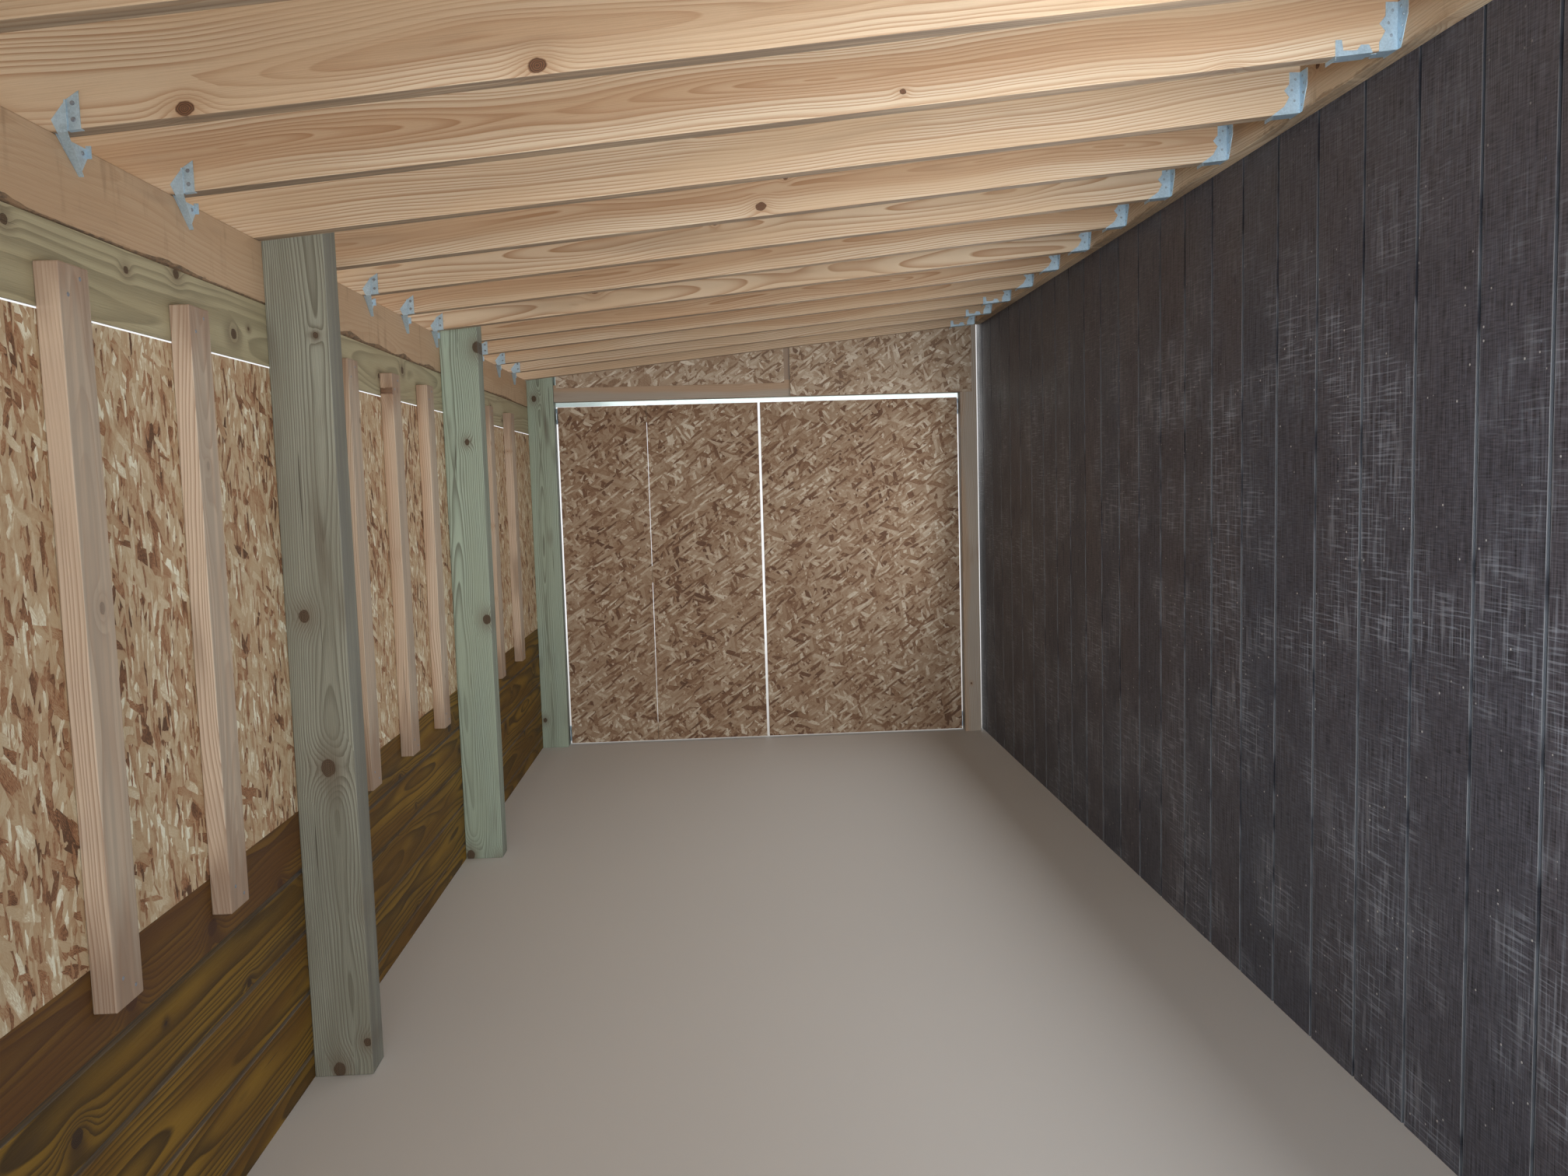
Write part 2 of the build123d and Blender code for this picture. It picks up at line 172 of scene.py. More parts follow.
def timber(name, axes, middle, look, seed, rows=None, lean=0.0, weather_and_painted_light_face=None, waney=False):
    """Sawn softwood. axes are the board's length, width and thickness, and middle its centre
    across the last two. rows is the way in which like boards repeat, and their pitch. lean is
    its slope, and weather_and_painted_light_face the axis of the faces that take the look's
    own colour for them, which stands for weathering, painted shade and painted light, each
    where the look sets it. waney says that bark shows along its lower edge, by the look's
    fringe and the mesh's bark attribute."""
    material, start = fresh_material(name)
    along, wide, thick = (pick(start, axis) for axis in axes)
    wide = wide - along * lean - middle[0]
    thick = thick - middle[1]

    # the board's number in its row, and three chances of its own
    number = along * 0.0
    if rows and rows[0] == "wide":
        number = (wide / rows[1] + 0.5).maths("FLOOR", wide / rows[1] + 0.5)
        wide = wide - number * rows[1]
    if rows and rows[0] == "thick":
        number = (thick / rows[1] + 0.5).maths("FLOOR", thick / rows[1] + 0.5)
        thick = thick - number * rows[1]
    luck = number.node("ShaderNodeTexWhiteNoise", {"noise_dimensions": "1D"},
                       {"W": number + seed * 3.7}, "Color")
    luck = luck.node("ShaderNodeSeparateColor", {}, {"Color": luck})
    first, second, third = luck, luck.out(1), luck.out(2)
    run = along + first * 40.0 + seed

    # knots that go through the board, one in some of the cells along it
    cell_long, cell_wide = look["knot_cell"]
    cell_x = run / cell_long
    cell_y = wide / cell_wide + second * 20.0
    spots = start.node("ShaderNodeTexVoronoi", {"voronoi_dimensions": "2D"},
                       {"Vector": vector(start, cell_x, cell_y), "Scale": 1.0}, "Position")
    spot = start.node("ShaderNodeSeparateXYZ", {}, {"Vector": spots})
    off_x = (cell_x - spot) * cell_long
    off_y = (cell_y - spot.out(1)) * cell_wide
    chance = start.node("ShaderNodeSeparateColor", {}, {"Color": spots.out("Color")})
    reach = (off_x * off_x * 0.6 + off_y * off_y).maths("SQRT", off_x * off_x * 0.6 + off_y * off_y)
    ragged_knot = noise(start, vector(start, run, wide + thick), 90.0, 1.0, flat=True) - 0.5
    reach = reach + ragged_knot * 0.003
    size = chance.out(1) * look["knot_size"] + 0.003
    present = chance < look["knots"]
    ratio = reach / size
    knot = present * step(ratio, 1.08, 0.9)
    halo = present * (ratio * ratio * -0.16).maths("EXPONENT", ratio * ratio * -0.16)

    # rings round a heart that wanders along the board
    slow = drift(run * 0.9 + first * 9.0) - 0.5
    slower = drift(run * 0.7 + second * 9.0 + 55.0) - 0.5
    heart_wide = (second - 0.5) * look["heart_spread"] + slow * look["wander"]
    heart_deep = third * look["heart_spread"] * 0.5 + look["heart_deep"] + slower * look["wander"]
    ripple = noise(start, vector(start, run * 2.0, wide * 9.0, thick * 9.0), 1.6, 1.0) - 0.5
    a = wide - heart_wide
    b = thick + heart_deep
    radius = (a * a + b * b).maths("SQRT", a * a + b * b)
    radius = radius + ripple * look["ripple"] + halo * size * 1.5
    pace = drift(radius * 45.0 + second * 70.0)
    turns = radius / look["ring"] + pace * 1.7
    ring = turns.maths("FRACT", turns)
    late = start.node("ShaderNodeValToRGB", {"stops": look["ring_ramp"]}, {"Fac": ring})
    late = start.node("ShaderNodeSeparateColor", {}, {"Color": late})
    fade = noise(start, vector(start, run * 1.3, wide * 8.0, thick * 8.0), 1.5, 1.0)
    late = late * step(fade, 0.25, 0.62, look["ring_low"], 1.0)

    # colours: plain wood, the heart, the late wood's lines, knots, and fine fibre over all
    fibre = noise(start, vector(start, run * 9.0, wide * 420.0, thick * 420.0), 1.0, 1.0, 0.6)
    shade = blend(step(fade, 0.66, 0.36), look["pale"], look["warm"])
    near_heart = step(radius, look["heart_red"], look["heart_red"] * 0.45)
    shade = blend(near_heart * 0.7, shade, look["heart"])
    shade = blend(third * 0.35, shade, look["odd"])
    shade = blend(late * look["ring_strong"], shade, look["line"])
    shade = blend(halo * 0.55, shade, look["halo"])
    knot_ring = (reach * 2400.0).maths("SINE", reach * 2400.0) * 0.5 + 0.5
    knot_shade = blend(knot_ring, look["knot_dark"], look["knot_red"])
    shade = blend(knot * 0.92, shade, knot_shade)
    darker = shade.node("ShaderNodeHueSaturation", {}, {"Value": look["fibre"], "Color": shade})
    shade = blend((fibre - 0.5) * 0.9 + 0.5, shade, darker)

    # short dark checks and stains that lie along the grain
    slits = vector(start, run * 3.0, wide * 150.0 + third * 30.0, thick * 150.0)
    check = step(noise(start, slits, 1.0, 1.0), look["checks"], look["checks"] + 0.05)
    shade = blend(check * 0.75, shade, look["knot_dark"])
    grime = noise(start, vector(start, run * 2.2, wide * 14.0, thick * 14.0 + 3.0), 1.0, 2.0, 0.65)
    shade = blend(step(grime, 0.56, 0.78) * look["grime"], shade, look["grime_shade"])

    # faces along one axis, toned for weathering, painted shade and painted light; damp ends;
    # and where one board meets the next
    if weather_and_painted_light_face:
        facing = start.node("ShaderNodeTexCoord", {}, {}, "Normal")
        facing = start.node("ShaderNodeSeparateXYZ", {}, {"Vector": facing}, weather_and_painted_light_face)
        turned = facing.maths("ABSOLUTE", facing)
        streaks = noise(start, vector(start, run * 2.0, wide * 55.0, thick * 55.0), 1.0, 1.0, 0.6)
        streak_strength = step(streaks, 0.34, 0.62, 0.55, 1.0)
        shade = blend(step(turned, 0.6, 0.9) * streak_strength * look["weather_and_painted_light"], shade, look["weather_and_painted_light_colour"])
    if "damp" in look:
        low, high, damp_shade = look["damp"]
        soak = noise(start, vector(start, run * 5.0, wide * 30.0, thick * 30.0), 1.0, 1.0, 0.6)
        place = along + (soak - 0.5) * 0.30
        soaked = step(place, low + 0.18, low) + step(place, high - 0.16, high)
        shade = blend(soaked * 0.55, shade, damp_shade)
    if "joint" in look:
        joint, joint_shade = look["joint"]
        top_row = (number + 0.5).maths("GREATER_THAN", number + 0.5, 0.0)
        beyond = top_row * step(along, joint, joint + 0.002)
        shade = blend(beyond * 0.50, shade, joint_shade)

    # bark along the lower edge, dark and flaky, and streaks that ran down from it
    height = fibre
    if waney:
        bark = start.node("ShaderNodeAttribute", {"attribute_name": "bark"}, {}, "Fac")
        flaky = noise(start, vector(start, run * 40.0, wide * 90.0, thick * 90.0), 1.0, 4.0, 0.7)
        ragged = noise(start, vector(start, run * 14.0, wide * 30.0, seed), 1.0, 4.0, 0.65) - 0.5
        strong = step(drift(along * 0.9 + seed), 0.42, 0.58)
        fringe = step(wide + ragged * 0.034, *look["fringe_from"]) * (strong * 0.75 + 0.15)
        bark = bark.maths("MAXIMUM", bark * 0.8, fringe * look["fringe"])
        bark_shade = blend(step(flaky, 0.36, 0.60), (0.030, 0.020, 0.014), (0.200, 0.118, 0.062))
        shade = blend(bark, shade, bark_shade)
        drips = noise(start, vector(start, run * 26.0, wide * 5.0, seed), 1.0, 3.0, 0.6)
        shade = blend(step(drips, 0.55, 0.74) * 0.35, shade, (0.200, 0.125, 0.070))
        height = height + bark * flaky * 2.0
    rough = fibre * 0.22 + 0.55
    shader = {"Base Color": shade, "Roughness": rough, "Specular IOR Level": 0.28}
    return surface(start, material, shader, height, look["bump"])


def dress(material, *names, arris=0.0):
    """Gives CAD nodes their finish, and eases their arrises."""
    for name in names:
        piece = nodes[name]
        for slot in piece.material_slots:
            slot.material = material
        if arris:
            weld = piece.modifiers.new("weld", "WELD")
            weld.merge_threshold = 0.00002
            ease = piece.modifiers.new("arris", "BEVEL")
            ease.width = arris
            ease.segments = 2
            ease.limit_method = "ANGLE"
            ease.angle_limit = math.radians(40.0)
            ease.harden_normals = False


# The posts' inner and outer faces take a darker grey than their edges.
post_look = {
    "pale": (0.377, 0.386, 0.315), "warm": (0.245, 0.239, 0.185), "heart": (0.220, 0.218, 0.166),
    "odd": (0.275, 0.278, 0.220), "line": (0.085, 0.070, 0.046), "halo": (0.150, 0.105, 0.068),
    "knot_dark": (0.040, 0.027, 0.016), "knot_red": (0.125, 0.072, 0.038),
    "grime_shade": (0.125, 0.103, 0.074), "grime": 0.75,
    "weather_and_painted_light": 0.6, "weather_and_painted_light_colour": (0.128, 0.132, 0.122),
    "ring": 0.0046, "ring_ramp": ((0.0, 0.0), (0.40, 0.15), (0.78, 0.85), (0.92, 1.0), (1.0, 0.0)),
    "ring_strong": 0.66, "ring_low": 0.25, "ripple": 0.012, "wander": 0.040, "heart_spread": 0.10,
    "heart_deep": 0.05, "heart_red": 0.05, "knots": 0.42, "knot_size": 0.016,
    "knot_cell": (0.34, 0.11), "fibre": 0.80, "checks": 0.74, "bump": 0.0011,
}
green_look = {
    **post_look, "pale": (0.483, 0.594, 0.487), "warm": (0.410, 0.487, 0.383),
    "odd": (0.430, 0.515, 0.406), "heart": (0.336, 0.386, 0.290),
}
post_places = {"post_1": -2.9845, "post_2": -0.5461, "post_3": 1.1575, "post_4": 3.1115}
post_row_x = -1.0285
for number, (name, place) in enumerate(post_places.items()):
    look = post_look if number < 2 else green_look
    seed = 11.0 + 3.1 * number
    wood = timber(f"{name}_timber", "ZXY", (post_row_x, place), look, seed, weather_and_painted_light_face="X")
    dress(wood, name, arris=0.003)

# The girts are treated boards, 140 by 38 mm, nailed to the posts' outer faces under the
# beam. They are olive green, with dark grain that runs along them and small brown knots.
girt_look = {
    **post_look, "pale": (0.480, 0.436, 0.288), "warm": (0.410, 0.359, 0.226),
    "heart": (0.340, 0.291, 0.173), "odd": (0.400, 0.354, 0.216), "line": (0.155, 0.135, 0.078),
    "ring": 0.0105, "ring_strong": 0.55, "knots": 0.60, "knot_size": 0.009, "knot_cell": (0.26, 0.10),
    "heart_deep": 0.04, "wander": 0.05, "grime": 0.35, "bump": 0.0008,
}
wall_middle_x = -1.1175
girt_middle = 1.772
for bay in range(1, 4):
    seed = 31.0 + 5.3 * bay
    wood = timber(f"girt_{bay}_timber", "YZX", (girt_middle, wall_middle_x), girt_look, seed)
    dress(wood, f"girt_{bay}", arris=0.0025)

# The beam is a tan pine board on edge, nailed along the top of the posts' outer faces in
# lengths that meet at the posts. Its lower inner edge was sawn from the outside of the log,
# so that corner wanders and keeps some bark. Each length is a run of cut sections.
pine_look = {
    "pale": (0.713, 0.594, 0.439), "warm": (0.634, 0.482, 0.326), "heart": (0.515, 0.329, 0.193),
    "odd": (0.683, 0.541, 0.364), "line": (0.337, 0.207, 0.112), "halo": (0.430, 0.260, 0.145),
    "knot_dark": (0.050, 0.026, 0.015), "knot_red": (0.200, 0.085, 0.040),
    "grime_shade": (0.300, 0.215, 0.145), "grime": 0.30,
    "ring": 0.0058, "ring_ramp": ((0.0, 0.0), (0.40, 0.10), (0.80, 0.75), (0.93, 1.0), (1.0, 0.0)),
    "ring_strong": 0.72, "ring_low": 0.30, "ripple": 0.016, "wander": 0.07, "heart_spread": 0.12,
    "heart_deep": 0.02, "heart_red": 0.05, "knots": 0.22, "knot_size": 0.010,
    "knot_cell": (0.62, 0.16), "fibre": 0.90, "checks": 0.80, "bump": 0.0006,
}
beam_look = {
    **pine_look, "pale": (0.528, 0.387, 0.251), "warm": (0.475, 0.329, 0.202),
    "odd": (0.502, 0.360, 0.238), "line": (0.400, 0.250, 0.145), "ring_strong": 0.48,
    "knots": 0.12, "grime": 0.65, "fringe": 0.8, "fringe_from": (-0.0650, -0.0700),
}
beam_outer, beam_inner, beam_low, beam_high = -1.1365, -1.0985, 1.844, 1.984
beam_middle = (beam_low + beam_high) / 2
near_end, far_end = -3.067, 3.156
beam_ends = (near_end, post_places["post_2"], post_places["post_3"], far_end)
bark_width, least_wane = 0.0008, 0.0026
beam_arris = 0.0025
section_spacing = 0.018
# where along each length the bark edge is deepest: the place, its half length and height
wane_places = {
    1: ((-2.55, 0.22, 0.020), (-2.20, 0.12, 0.013), (-1.60, 0.05, 0.010), (-1.05, 0.10, 0.007),
        (-2.95, 0.10, 0.006)),
    2: ((-0.25, 0.09, 0.009), (0.05, 0.08, 0.014), (0.32, 0.10, 0.010), (0.62, 0.07, 0.013),
        (0.95, 0.08, 0.011)),
    3: ((1.60, 0.15, 0.006), (2.40, 0.20, 0.008)),
}


def outward_mesh(name, corners, faces):
    """A closed mesh with all its faces turned outwards."""
    mesh = bpy.data.meshes.new(name)
    mesh.from_pydata(corners, [], faces)
    shape = bmesh.new()
    shape.from_mesh(mesh)
    bmesh.ops.recalc_face_normals(shape, faces=shape.faces)
    shape.to_mesh(mesh)
    shape.free()
    return mesh


for bay, deepest in wane_places.items():
    start_y, end_y = beam_ends[bay - 1], beam_ends[bay]
    count = int((end_y - start_y) / section_spacing) + 1
    wobble = random.Random(40 + bay)
    corners, bark_marks, faces = [], [], []
    for index in range(count + 1):
        y = start_y + (end_y - start_y) * index / count
        high = least_wane + sum(tall * math.exp(-((y - place) / half) ** 2)
                                for place, half, tall in deepest)
        high = high * (1.0 + wobble.uniform(-0.16, 0.16))
        deep = high * 0.75
        # round the section from the lower outer corner, with 1 where a corner is in the bark
        section = (
            (beam_outer, beam_low + beam_arris, 0.0),
            (beam_outer, beam_high - beam_arris, 0.0),
            (beam_outer + beam_arris, beam_high, 0.0),
            (beam_inner - beam_arris, beam_high, 0.0),
            (beam_inner, beam_high - beam_arris, 0.0),
            (beam_inner, beam_low + high + bark_width, 0.0),
            (beam_inner - 0.0002, beam_low + high, 1.0),
            (beam_inner - deep * 0.42, beam_low + high * 0.40, 1.0),
            (beam_inner - deep, beam_low, 1.0),
            (beam_inner - deep - bark_width, beam_low, 0.0),
            (beam_outer + beam_arris, beam_low, 0.0),
        )
        corners += [(x, y, z) for x, z, bark in section]
        bark_marks += [bark for x, z, bark in section]
    side_count = len(section)
    for index in range(count):
        for side in range(side_count):
            after = (side + 1) % side_count
            here, there = index * side_count, (index + 1) * side_count
            faces.append((here + side, here + after, there + after, there + side))
    faces.append(tuple(reversed(range(side_count))))
    faces.append(tuple(range(count * side_count, (count + 1) * side_count)))
    mesh = outward_mesh(f"waney_beam_{bay}", corners, faces)
    mesh.attributes.new("bark", "FLOAT", "POINT")
    mesh.attributes["bark"].data.foreach_set("value", bark_marks)
    beam = bpy.data.objects.new(f"waney_beam_{bay}", mesh)
    scene.collection.objects.link(beam)
    mesh.materials.append(timber(f"beam_{bay}_timber", "YZX", (beam_middle, wall_middle_x),
                                 beam_look, 51.0 + 4.7 * bay, waney=True))
    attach(beam, "building")
    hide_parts(f"beam_{bay}")

# The studs are pine sticks, 89 by 38 mm, nailed flat over the joints of girt, sheet and
# skirt. Their edges are pale and fresh, and damp has stained both ends. Their wide faces are
# painted grey brown, partly weathering and partly painted shade, as they face across the
# store, away from the open end.
stud_look = {
    **pine_look, "pale": (0.724, 0.605, 0.472), "warm": (0.654, 0.523, 0.392),
    "odd": (0.631, 0.484, 0.365), "line": (0.340, 0.200, 0.120), "ring_strong": 0.75,
    "knots": 0.45, "knot_size": 0.007, "knot_cell": (0.40, 0.07),
    "grime": 0.75, "grime_shade": (0.250, 0.180, 0.125),
    "weather_and_painted_light": 0.80, "weather_and_painted_light_colour": (0.350, 0.300, 0.240),
    "damp": (0.620, 1.780, (0.230, 0.135, 0.085)),
}
stud_starts = {1: (-2.3805, 0.448), 2: (-0.0801, 0.430), 3: (1.8585, 0.523)}
stud_middle_x = -1.0795
for bay, (place, pitch_along) in stud_starts.items():
    seed = 71.0 + 6.1 * bay
    wood = timber(f"stud_{bay}_timber", "ZYX", (place, stud_middle_x), stud_look, seed,
                  rows=("wide", pitch_along), weather_and_painted_light_face="X")
    dress(wood, f"wall_studs_{bay}", arris=0.0025)


# Each stud is held by four galvanised nails, two into the girt and two into the skirt board.
# A head, of a nail, screw or bolt, is a low cone with its top cut off, and Geometry Nodes
# stand one on each place that is given.
def galvanised(name, dark, bright):
    material, start = fresh_material(name)
    place = start.node("ShaderNodeTexCoord", {}, {}, "Object")
    grains = start.node("ShaderNodeTexVoronoi", {}, {"Vector": place, "Scale": 330.0}, "Color")
    grain = start.node("ShaderNodeSeparateColor", {}, {"Color": grains})
    cloud = noise(start, place, 26.0, 3.0)
    shade = blend(grain * 0.30 + cloud * 0.6, dark, bright)
    shader = {"Base Color": shade, "Metallic": 0.45, "Roughness": grain * 0.12 + 0.36}
    return surface(start, material, shader, cloud, 0.0003)


head_tree = bpy.data.node_groups.new("heads", "GeometryNodeTree")
head_inputs = {
    "Places": "Geometry", "Head width": "Float", "Head height": "Float", "Crown": "Float",
    "Sides": "Int", "Seed": "Int", "Finish": "Material",
}
for label, kind in head_inputs.items():
    head_tree.interface.new_socket(label, in_out="INPUT", socket_type=f"NodeSocket{kind}")
head_tree.interface.new_socket("Heads", in_out="OUTPUT", socket_type="NodeSocketGeometry")
given = Wire(head_tree, None).node("NodeGroupInput", {}, {})
half_width = given.out("Head width") * 0.5
head = given.node("GeometryNodeMeshCone", {}, {
    "Vertices": given.out("Sides"), "Radius Top": half_width * given.out("Crown"),
    "Radius Bottom": half_width, "Depth": given.out("Head height")})
facing = given.node("GeometryNodeInputNamedAttribute", {"data_type": "FLOAT_VECTOR"},
                    {"Name": "facing"})
upright_turn = given.node("FunctionNodeAlignRotationToVector", {"axis": "Z"}, {"Vector": facing})
spin = given.node("FunctionNodeRandomValue", {"data_type": "FLOAT"},
                  {2: 0.0, 3: 6.28, "Seed": given.out("Seed")}, 1)
spin_turn = given.node("FunctionNodeAxisAngleToRotation", {},
                       {"Axis": (0.0, 0.0, 1.0), "Angle": spin})
turn = given.node("FunctionNodeRotateRotation", {"rotation_space": "LOCAL"},
                  {"Rotation": upright_turn, "Rotate By": spin_turn})
grow = given.node("FunctionNodeRandomValue", {"data_type": "FLOAT"},
                  {2: 0.92, 3: 1.08, "Seed": given.out("Seed")}, 1)
stood = given.node("GeometryNodeInstanceOnPoints", {}, {
    "Points": given, "Instance": head, "Rotation": turn, "Scale": grow})
whole = stood.node("GeometryNodeRealizeInstances", {}, {"Geometry": stood})
finished = whole.node("GeometryNodeSetMaterial", {},
                      {"Geometry": whole, "Material": given.out("Finish")})
given.node("NodeGroupOutput", {}, {"Heads": finished}, None)


def nailed(name, body, places, finish, width, height, sides=12, crown=0.7):
    """A head on each of the places, with the way it faces, as one mesh that rides on a body.
    crown is the width of its top as a share of its foot."""
    points = bpy.data.meshes.new(f"{name}_places")
    points.from_pydata([place for place, way in places], [], [])
    points.attributes.new("facing", "FLOAT_VECTOR", "POINT")
    ways = [part for place, way in places for part in way]
    points.attributes["facing"].data.foreach_set("vector", ways)
    holder = bpy.data.objects.new(f"{name}_places", points)
    scene.collection.objects.link(holder)
    modifier = holder.modifiers.new("heads", "NODES")
    modifier.node_group = head_tree
    values = {"Head width": width, "Head height": height, "Crown": crown, "Sides": sides,
              "Seed": 5, "Finish": finish}
    for item in head_tree.interface.items_tree:
        if item.name in values:
            modifier[item.identifier] = values[item.name]
    graph = bpy.context.evaluated_depsgraph_get()
    piece = bpy.data.objects.new(name, bpy.data.meshes.new_from_object(holder.evaluated_get(graph)))
    bpy.data.objects.remove(holder)
    scene.collection.objects.link(piece)
    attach(piece, body)


dark_steel = galvanised("nail_steel", (0.17, 0.19, 0.22), (0.33, 0.37, 0.42))
stud_face = -1.0605
stud_counts = {1: 4, 2: 3, 3: 2}
stud_nails = []
for bay, (place, pitch_along) in stud_starts.items():
    for index in range(stud_counts[bay]):
        middle = place + index * pitch_along
        for aside, height in ((-0.021, 1.722), (0.017, 1.751), (-0.018, 0.632), (0.020, 0.606)):
            stud_nails.append(((stud_face, middle + aside, height), (1.0, 0.0, 0.0)))
nailed("stud_nails", "building", stud_nails, dark_steel, 0.0075, 0.0009)

# The rafters are clear yellow pine, 184 by 38 mm, notched over the beam and hung from the
# ledger, 16 inches apart. Their faces show flames at the heart side and straight grain below.
# The rafters' top and bottom faces are painted a dark grey brown: a painted shade for the undersides,
# which face the ground.
rafter_look = {
    **pine_look, "odd": (0.680, 0.500, 0.330), "line": (0.370, 0.195, 0.095), "ring_strong": 0.85,
    "ring": 0.0072, "weather_and_painted_light": 0.80, "weather_and_painted_light_colour": (0.195, 0.145, 0.105), "knots": 0.38,
}
rafter_spacing = 0.4064
rafter_count = 16
first_rafter_middle = -3.048
roof_slope = 0.1
rafter_height = 2.1863
for bay in range(1, 4):
    seed = 91.0 + 7.9 * bay
    wood = timber(f"rafter_{bay}_timber", "XZY", (rafter_height, first_rafter_middle), rafter_look,
                  seed, rows=("thick", rafter_spacing), lean=roof_slope, weather_and_painted_light_face="Z")
    dress(wood, f"rafters_{bay}", arris=0.002)

# The ledger is a pine board on edge, fixed over the party wall's siding, and the rafters
# hang from it. A little bark and its stain show along the lower edge.
ledger_look = {
    **pine_look, "grime": 0.80, "knots": 0.45, "fringe": 0.6, "fringe_from": (-0.0830, -0.0900),
}
ledger_height, ledger_middle_x = 2.316, 1.3205
wood = timber("ledger_timber", "YZX", (ledger_height, ledger_middle_x), ledger_look, 131.0,
              waney=True)
dress(wood, "ledger", arris=0.002)

# The doorway is framed by a header and a right jamb, with a short cripple stud over the
# header. They are the same pine gone grey, the cripple stud the greyest.
grey_look = {
    **pine_look, "pale": (0.500, 0.450, 0.390), "warm": (0.420, 0.370, 0.310),
    "odd": (0.440, 0.390, 0.330), "grime": 0.6,
}
gable_middle_y = 3.117
header_height, jamb_middle_x, cripple_middle_x = 1.9125, 1.275, 0.2915
wood = timber("header_timber", "XZY", (header_height, gable_middle_y), grey_look, 141.0)
dress(wood, "door_header", arris=0.002)
wood = timber("jamb_timber", "ZXY", (jamb_middle_x, gable_middle_y), grey_look, 151.0)
dress(wood, "right_jamb", arris=0.002)
silver_look = {
    **grey_look, "pale": (0.300, 0.300, 0.300), "warm": (0.260, 0.255, 0.250),
    "line": (0.16, 0.15, 0.14),
}
wood = timber("cripple_timber", "ZXY", (cripple_middle_x, gable_middle_y), silver_look, 161.0)
dress(wood, "cripple_stud", arris=0.002)

# The ties and hangers are folded from thin sheet steel with a bright zinc coat, and nailed
# to the beam, the ledger and the rafters' sides.
zinc = galvanised("zinc_steel", (0.30, 0.44, 0.55), (0.66, 0.83, 0.95))
dress(zinc, "joist_hangers", "rafter_ties")
sheet_steel = 0.0012
rafter_width = 0.038
tied_rafters = (1, 2, 3, 4, 5, 7, 8, 9, 10, 11, 12, 13, 14)
wing_nail_in = 0.0345
tie_places = []
for index in tied_rafters:
    near = near_end + rafter_spacing * index
    for rise in (0.018, 0.043):
        place = (beam_inner + wing_nail_in, near - sheet_steel, beam_high + rise)
        tie_places.append((place, (0.0, -1.0, 0.0)))
    for along, drop in ((0.050, 0.012), (0.066, 0.030), (0.086, 0.010)):
        place = (beam_inner + sheet_steel, near + along, beam_high - drop)
        tie_places.append((place, (1.0, 0.0, 0.0)))
nailed("tie_nails", "building", tie_places, dark_steel, 0.0080, 0.0018)
ledger_face, seat_height = 1.3015, 2.224
hanger_places = []
for index in range(rafter_count):
    near = near_end + rafter_spacing * index
    sides = []
    if index > 0:
        sides.append((near, -1.0))
    if index < rafter_count - 1:
        sides.append((near + rafter_width, 1.0))
    # four nails through each flange into the ledger, and three into the rafter's side
    for face, way in sides:
        for out, rise in ((0.011, 0.014), (0.017, 0.040), (0.021, 0.060), (0.012, 0.078)):
            place = (ledger_face - sheet_steel, face + way * out, seat_height + rise)
            hanger_places.append((place, (-1.0, 0.0, 0.0)))
        for inward, rise in ((0.014, 0.026), (0.020, 0.050), (0.012, 0.074)):
            place = (ledger_face - inward, face + way * sheet_steel, seat_height + rise)
            hanger_places.append((place, (0.0, way, 0.0)))
pale_steel = galvanised("hanger_nail_steel", (0.24, 0.30, 0.36), (0.45, 0.53, 0.60))
nailed("hanger_nails", "building", hanger_places, pale_steel, 0.0065, 0.0014)

# The skirt boards are treated boards stained brown, nailed to the posts' outer faces with
# a finger of light between them. The first bay's top row is two boards, the second redder,
# that meet under the first stud.
# The boards' top and bottom edges are painted pale: painted light where daylight comes through the gaps
# between them.
skirt_look = {
    **post_look, "pale": (0.276, 0.156, 0.018), "warm": (0.151, 0.073, 0.009),
    "heart": (0.107, 0.047, 0.006), "odd": (0.160, 0.094, 0.014), "line": (0.028, 0.015, 0.006),
    "halo": (0.060, 0.032, 0.014), "knot_dark": (0.020, 0.012, 0.008),
    "knot_red": (0.055, 0.030, 0.016), "grime": 0.6, "grime_shade": (0.040, 0.026, 0.016),
    "weather_and_painted_light": 0.45, "weather_and_painted_light_colour": (0.330, 0.300, 0.250), "ring": 0.0082, "ring_strong": 0.85,
    "ring_low": 0.4, "knots": 0.3, "bump": 0.001,
}
joint_look = {**skirt_look, "joint": (-2.356, (0.090, 0.034, 0.016))}
top_skirt, skirt_pitch = 0.588, 0.150
for bay in range(1, 4):
    look = joint_look if bay == 1 else skirt_look
    seed = 171.0 + 2.3 * bay
    wood = timber(f"skirt_{bay}_timber", "YZX", (top_skirt, wall_middle_x), look, seed,
                  rows=("wide", skirt_pitch), weather_and_painted_light_face="Z")
    dress(wood, f"skirt_boards_{bay}", arris=0.003)


